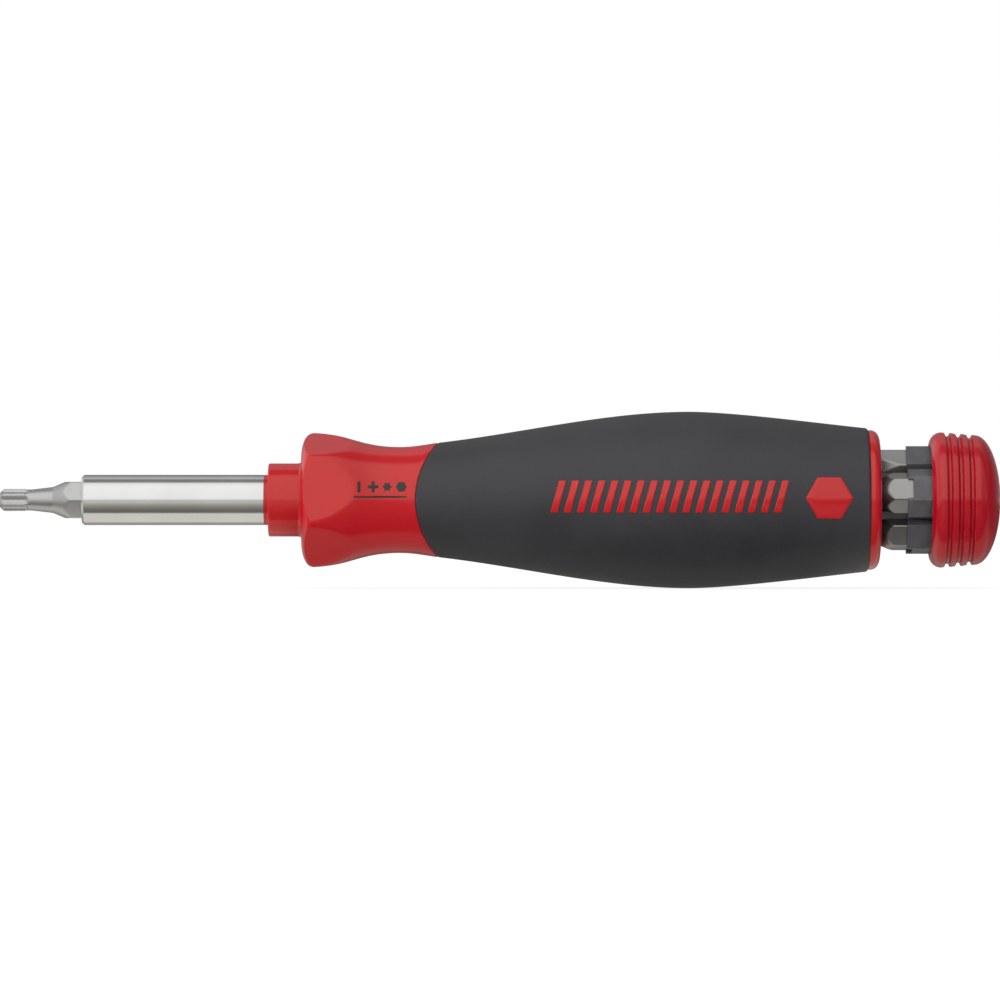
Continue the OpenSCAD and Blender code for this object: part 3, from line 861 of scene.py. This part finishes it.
# Magazine slide
# A black plastic guide collar on the front end of the carrier, held by one screw. A rubber ring in
# its groove rubs on the handle's bore, so that the magazine stays where it is put.

black_plastic = moulded("black_plastic", (0.062, 0.061, 0.067), (0.077, 0.076, 0.083), (0.11, 0.11, 0.117),
                        rough=(0.3, 0.42), grain=4500.0, depth=0.00002)
ring_rubber = moulded("ring_rubber", (0.016, 0.016, 0.016), (0.024, 0.024, 0.024), (0.04, 0.04, 0.04),
                      rough=(0.4, 0.55), grain=2500.0, depth=0.00003)
zinc_screw = steel("zinc_screw", (0.55, 0.56, 0.58), (0.63, 0.64, 0.66), rough=(0.25, 0.38), lines=3000.0,
                   depth=0.00001)

SLIDE_X = 103.6
SLIDE_END = 108.08
SLIDE_R = 9.474
RUB_GROOVE_X = 104.86
RUB_GROOVE_END = 106.84
RUB_GROOVE_R = 7.794
STUB_X = 105.88
STUB_R = 1.92
SCREW_HOLE_R = 1.3
SCREW_HEAD_X = 105.0
SCREW_HEAD_R = 2.4
collar_outline = eased([
    (SLIDE_X, SCREW_HEAD_R, 0.1), (SLIDE_X, SLIDE_R, 0.6), (RUB_GROOVE_X, SLIDE_R, 0.1),
    (RUB_GROOVE_X, RUB_GROOVE_R, 0.1), (RUB_GROOVE_END, RUB_GROOVE_R, 0.1), (RUB_GROOVE_END, SLIDE_R, 0.1),
    (SLIDE_END, SLIDE_R, 0.2), (SLIDE_END, STUB_R, 0.1), (STUB_X, STUB_R, 0.05), (STUB_X, SCREW_HOLE_R, 0.05),
    (SCREW_HEAD_X, SCREW_HOLE_R, 0.05), (SCREW_HEAD_X, SCREW_HEAD_R, 0.05)], closed=True)
collar = turned("slide_collar", collar_outline, black_plastic, closed=True)
settle(collar, "magazine", "black_plastic", "guide_collar")

RUB_RING_AT = (105.85, 8.784)
RUB_RING_HALF = 0.95
round_section = arc(RUB_RING_AT, RUB_RING_HALF, RUB_RING_HALF, 0, 360, 24)[:-1]
rub_ring = turned("rub_ring", round_section, ring_rubber, closed=True)
settle(rub_ring, "sliding_ring", "ring_rubber", "friction_ring")

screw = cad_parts["collar_screw"]
screw.data.materials.clear()
screw.data.materials.append(zinc_screw)


# Bit carrier
# One black plastic moulding: a spine with four open channels, and a block of four hexagon pockets
# whose rear plug is glued into the cap. Each pocket has a thumb notch at its mouth.

CARRIER_BREAK = 0.09


def softened(name, node, width, finish):
    """A merged copy of a CAD node with its edges broken."""
    seam = 2e-6
    flat_angle = math.radians(0.6)
    edge_angle = math.radians(35)
    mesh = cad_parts[node].data.copy()
    mesh.name = name
    shell = bmesh.new()
    shell.from_mesh(mesh)
    bmesh.ops.remove_doubles(shell, verts=shell.verts, dist=seam)
    bmesh.ops.dissolve_limit(shell, angle_limit=flat_angle, verts=shell.verts, edges=shell.edges)
    for face in shell.faces:
        face.smooth = True
        face.material_index = 0
    shell.to_mesh(mesh)
    shell.free()
    mesh.materials.clear()
    mesh.materials.append(finish)
    piece = piece_of(name, mesh)
    change = piece.modifiers.new("edges", "BEVEL")
    change.width = width * MM
    change.segments = 2
    change.limit_method = "ANGLE"
    change.angle_limit = edge_angle
    level = piece.modifiers.new("faces", "WEIGHTED_NORMAL")
    level.weight = 100
    evaluated(piece)
    return piece


carrier = softened("carrier", "bit_carrier", CARRIER_BREAK, black_plastic)
settle(carrier, "magazine", "black_plastic", "bit_carrier")


# Stored bits
# Four steel insert bits, which stand in the pockets of the carrier with their tips towards the
# handle: slotted, cross, six-lobe and hexagon.

POCKET_X = 153.08
PITCH_R = 5.456
MAGAZINE_TURN = -12.8
# The stored bits' steel is a darker copy of the nose bit's: painted shade for the pockets they stand in.
shaded_stored_steel = steel("shaded_stored_steel", (0.27, 0.267, 0.263), (0.33, 0.327, 0.323), rough=(0.34, 0.43),
                     lines=5000.0, depth=0.000012, rounds=900.0)


def store(piece, place, body, node):
    """Sets a bit in one of the four pockets, counted from the top."""
    turn = Matrix.Rotation(math.radians(MAGAZINE_TURN + 90 * place), 4, "X")
    piece.data.transform(turn @ Matrix.Translation((POCKET_X * MM, 0, PITCH_R * MM)))
    settle(piece, body, "tool_steel", node)


BLADE_R = 2.75
BLADE_HALF = 0.5
BLADE_SLOPE = math.tan(math.radians(12))


def blade(x):
    """The two ground faces of the slotted tip."""
    return {"wing": BLADE_HALF + (x + BIT_L) * BLADE_SLOPE}


slotted_corners = shank_end(root_r=BLADE_R, root_x=-18.488) + [(-BIT_L, BLADE_R, 0.06), (-BIT_L, 0, 0)]
slotted = make_bit("slotted_tip", slotted_corners, blade, shaded_stored_steel, wings=2)
store(slotted, 0, "stored_slotted", "slotted_bit")

CROSS_R = 1.8
CROSS_HALF = 0.45
CROSS_SLOPE = math.tan(math.radians(8))
CROSS_RUNOUT = (-20.3, -19.5, -19.4)


def cross_wings(x):
    """The four wings of the cross tip, whose grooves run out into the neck."""
    ground = CROSS_HALF + (x + BIT_L) * CROSS_SLOPE
    runout = np.interp(x, CROSS_RUNOUT, [1.11, 2.6, NO_CUT])
    return {"wing": np.where(x < CROSS_RUNOUT[0], ground, runout)}


cross_corners = shank_end(root_r=2.1, root_x=-14.9) + [
    (-19, CROSS_R, 0.5), (-22.8, CROSS_R, 0.4), (-BIT_L, 0.7, 0.15), (-BIT_L, 0, 0)]
cross = make_bit("cross_tip", cross_corners, cross_wings, shaded_stored_steel)
store(cross, 1, "stored_cross", "cross_bit")

STAR_LOBE_R = 1.638
star_corners = shank_end(root_r=2.0, root_x=-15.133) + lobe_end(1.8, STAR_LOBE_R, 1.08)
star = make_bit("star_tip", star_corners, lobes(STAR_LOBE_R), shaded_stored_steel)
store(star, 2, "stored_star", "star_bit")

KEY_AF = 3.6
KEY_X = -19.0
KEY_R = 2.3


def key_flats(x):
    """The hexagon of the tip as far as KEY_X, and that of the shank behind it."""
    return {"across": np.where(x < KEY_X, KEY_AF, HEX_AF)}


key_corners = shank_end(root_r=2.4, root_x=-14.202) + [
    (-18.9, KEY_R, 0.4), (KEY_X, KEY_R, 0), (-24.5, KEY_R, 0.2), (-BIT_L, 1.8, 0.15), (-BIT_L, 0, 0)]
key = make_bit("hexagon_tip", key_corners, key_flats, shaded_stored_steel)
store(key, 3, "stored_hexagon", "hexagon_bit")


# Pull cap
# The domed red plastic knob on the end of the magazine. Three grooves run round it for the
# fingers, and its skirt is a cup that takes the carrier's block.

CAP_X = 148.2
CAP_FACE_R = 9.75
CAP_R = 11.841
CAP_FALL = 0.5
CAP_END = 160.6
SKIRT_AT = (150.3, 9.791)
SKIRT_ROUND = (2.1, 2.05)
DOME_X = 156.1
DOME_L = 4.5
CUP_R = 9.541
CUP_MOUTH_X = 148.45
CUP_X = 154.12
PLUG_R = 6.42
PLUG_X = 157.6
GROOVES = 3
GROOVE_X = 151.267
GROOVE_PITCH = 1.933
GROOVE_HALF = 0.52
GROOVE_FLOOR_HALF = 0.2
GROOVE_DEPTH = 0.6
# The cap's red is darker than the core's: partly a moulding of its own, partly painted shade for the light
# that falls off towards the tail.
shaded_cap_red = moulded("shaded_cap_red", (0.375, 0.002, 0.013), (0.415, 0.004, 0.016), (0.46, 0.012, 0.024),
                  rough=(0.14, 0.2), grain=5000.0, depth=0.00001, gleam=PAINTED_WARM_GLEAM)

skirt = arc(SKIRT_AT, *SKIRT_ROUND, -88, 0, 14)
dome = arc((DOME_X, 0), DOME_L, CAP_R - CAP_FALL, 0, 90, 30)
grooves = []
for k in range(GROOVES):
    mid = GROOVE_X + GROOVE_PITCH * k
    top = CAP_R - CAP_FALL * (k + 0.5) / GROOVES
    grooves += [(mid - GROOVE_HALF, top, 0.16), (mid - GROOVE_FLOOR_HALF, top - GROOVE_DEPTH, 0.1),
                (mid + GROOVE_FLOOR_HALF, top - GROOVE_DEPTH, 0.1), (mid + GROOVE_HALF, top, 0.16)]
cap_outline = np.vstack([
    eased([(PLUG_X, 0, 0), (PLUG_X, PLUG_R, 0.2), (CUP_X, PLUG_R, 0.1), (CUP_X, CUP_R, 0.1),
           (CUP_MOUTH_X, CUP_R, 0.1), (CAP_X, CAP_FACE_R, 0)]),
    skirt,
    eased([(*skirt[-1], 0)] + grooves + [(*dome[0], 0)])[1:-1],
    dome[:-1],
    [(CAP_END, 0)]])
cap = turned("cap", cap_outline, shaded_cap_red, sides=144)
settle(cap, "magazine", "red_plastic", "pull_cap")


# Table, light and camera
# A white floor under the tool, which glows in painted bands of light and dark where the tool reflects it
# and a little under it as painted bounce light, a soft light tent brightest in front and towards the nose,
# and a long lens that looks level at the tool from its side.

WHITE = (1, 1, 1, 1)
FLOOR_Z = -15.5 * MM
FLOOR_HALF = 3.0
FLOOR_GLOW_TINT = (1.0, 0.975, 0.92)
FLOOR_GLOW_DEPTHS = ((0.25, 0.62), (0.42, 0.40), (0.54, 0.21), (0.572, 0.21), (0.586, 0.97), (0.70, 0.97),
                (0.74, 0.45))
FLOOR_GLOW_LENGTHS = ((0.16, 1.0), (0.185, 0.45), (0.64, 0.45), (0.69, 0.85), (0.75, 0.6))
scene = bpy.context.scene
scene.view_settings.view_transform = "Standard"


def banded(tree, factor, first, stops, last, tint=(1.0, 1.0, 1.0)):
    """A ramp from the first to the last colour over (place, tone) stops; gives its output socket."""
    ramp = add(tree, "ShaderNodeValToRGB", Fac=factor)
    bands = ramp.color_ramp.elements
    for at, tone in stops:
        bands.new(at).color = (*(tone * part for part in tint), 1)
    bands[0].color = (*first, 1)
    bands[-1].color = (*last, 1)
    return ramp.outputs["Color"]


def mixed(tree, factor, a, b):
    """Mix of two shaders by a factor; gives its output socket."""
    return add(tree, "ShaderNodeMixShader", Fac=factor, _1=a, _2=b).outputs[0]


def floor_material():
    """White floor that keeps the shadow; it glows as painted bounce light and as painted bands in gloss."""
    material = bpy.data.materials.new("floor_white")
    material.use_nodes = True
    tree = material.node_tree
    tree.nodes.clear()
    rays = add(tree, "ShaderNodeLightPath").outputs
    place = axes(tree, add(tree, "ShaderNodeTexCoord").outputs["Object"])
    matt = add(tree, "ShaderNodeBsdfDiffuse", Color=(0.8, 0.8, 0.8, 1)).outputs[0]
    lit = add(tree, "ShaderNodeEmission", Color=WHITE, Strength=1.16).outputs[0]
    # Painted reflections: bands of light and dark across and along the floor, seen only by glossy rays.
    depth = share_of(tree, place["Y"], -0.08, 0.04)
    bands = banded(tree, depth, (0.78, 0.77, 0.755), FLOOR_GLOW_DEPTHS, (0.35, 0.343, 0.333), FLOOR_GLOW_TINT)
    along = share_of(tree, place["X"], 0.0, 0.2)
    cards = banded(tree, along, (1, 1, 1), FLOOR_GLOW_LENGTHS, (0.2, 0.2, 0.2))
    mirrored = add(tree, "ShaderNodeEmission", Color=bands, Strength=cards).outputs[0]
    seen = mixed(tree, 0.74, matt, lit)
    # Painted bounce light: for other rays the floor glows a little and lights the tool's underside.
    soft = mixed(tree, 0.22, matt, lit)
    light = mixed(tree, rays["Is Glossy Ray"], soft, mirrored)
    result = tree.nodes.new("ShaderNodeOutputMaterial")
    tree.links.new(mixed(tree, rays["Is Camera Ray"], light, seen), result.inputs["Surface"])
    return material


floor_mesh = bpy.data.meshes.new("floor")
floor_mesh.from_pydata([(-FLOOR_HALF, -FLOOR_HALF, FLOOR_Z), (FLOOR_HALF, -FLOOR_HALF, FLOOR_Z),
                        (FLOOR_HALF, FLOOR_HALF, FLOOR_Z), (-FLOOR_HALF, FLOOR_HALF, FLOOR_Z)],
                       [], [(0, 1, 2, 3)])
floor = piece_of("floor", floor_mesh)
floor.data.materials.append(floor_material())

TENT_BANDS = ((0.02, 0.95), (0.36, 1.0), (0.40, 0.95), (0.465, 0.88), (0.497, 0.22), (0.60, 0.22),
              (0.64, 0.58), (0.70, 0.40), (0.77, 0.32), (0.82, 0.2))
SIDE_LEVEL = 1.40
REAR_LEVEL = 0.45
FRONT_GAIN = 1.7
NOSE_CARD = 0.9
world = bpy.data.worlds.new("light_tent")
scene.world = world
world.use_nodes = True
tent = world.node_tree
tent.nodes.clear()
rays = add(tent, "ShaderNodeLightPath").outputs
sight = axes(tent, add(tent, "ShaderNodeTexCoord").outputs["Generated"])
towards = reckon(tent, "MULTIPLY", sight["Y"], -1.0)
rise = share_of(tent, reckon(tent, "ARCTAN2", sight["Z"], towards), 0.0, math.pi)
bands = banded(tent, rise, (0.6, 0.6, 0.6), TENT_BANDS, (0.18, 0.18, 0.18))
rear_fall = span(tent, share_of(tent, sight["X"], 0.15, 0.8, "SMOOTHSTEP"), SIDE_LEVEL, REAR_LEVEL)
front_rise = span(tent, share_of(tent, sight["X"], -0.3, -0.9), 0.0, FRONT_GAIN)
level = reckon(tent, "ADD", rear_fall, front_rise)
walls = add(tent, "ShaderNodeBackground", Color=bands, Strength=level).outputs[0]
nose_card = add(tent, "ShaderNodeBackground", Color=WHITE, Strength=NOSE_CARD).outputs[0]
nose_side = share_of(tent, sight["X"], -0.25, -0.65, "SMOOTHSTEP")
mirrored = reckon(tent, "MULTIPLY", nose_side, rays["Is Glossy Ray"])
light = mixed(tent, mirrored, walls, nose_card)
white = add(tent, "ShaderNodeBackground", Color=WHITE, Strength=1.0).outputs[0]
sky = tent.nodes.new("ShaderNodeOutputWorld")
tent.links.new(mixed(tent, rays["Is Camera Ray"], light, white), sky.inputs["Surface"])

VIEW_X = 73.1 * MM
VIEW_W = 175 * MM
DISTANCE = 1.2
SENSOR_W = 36.0
lens = bpy.data.cameras.new("side_view")
lens.sensor_width = SENSOR_W
lens.lens = SENSOR_W * DISTANCE / VIEW_W
camera = bpy.data.objects.new("side_view", lens)
camera.location = (VIEW_X, -DISTANCE, 0)
camera.rotation_euler = (math.pi / 2, 0, 0)
scene.collection.objects.link(camera)
scene.camera = camera
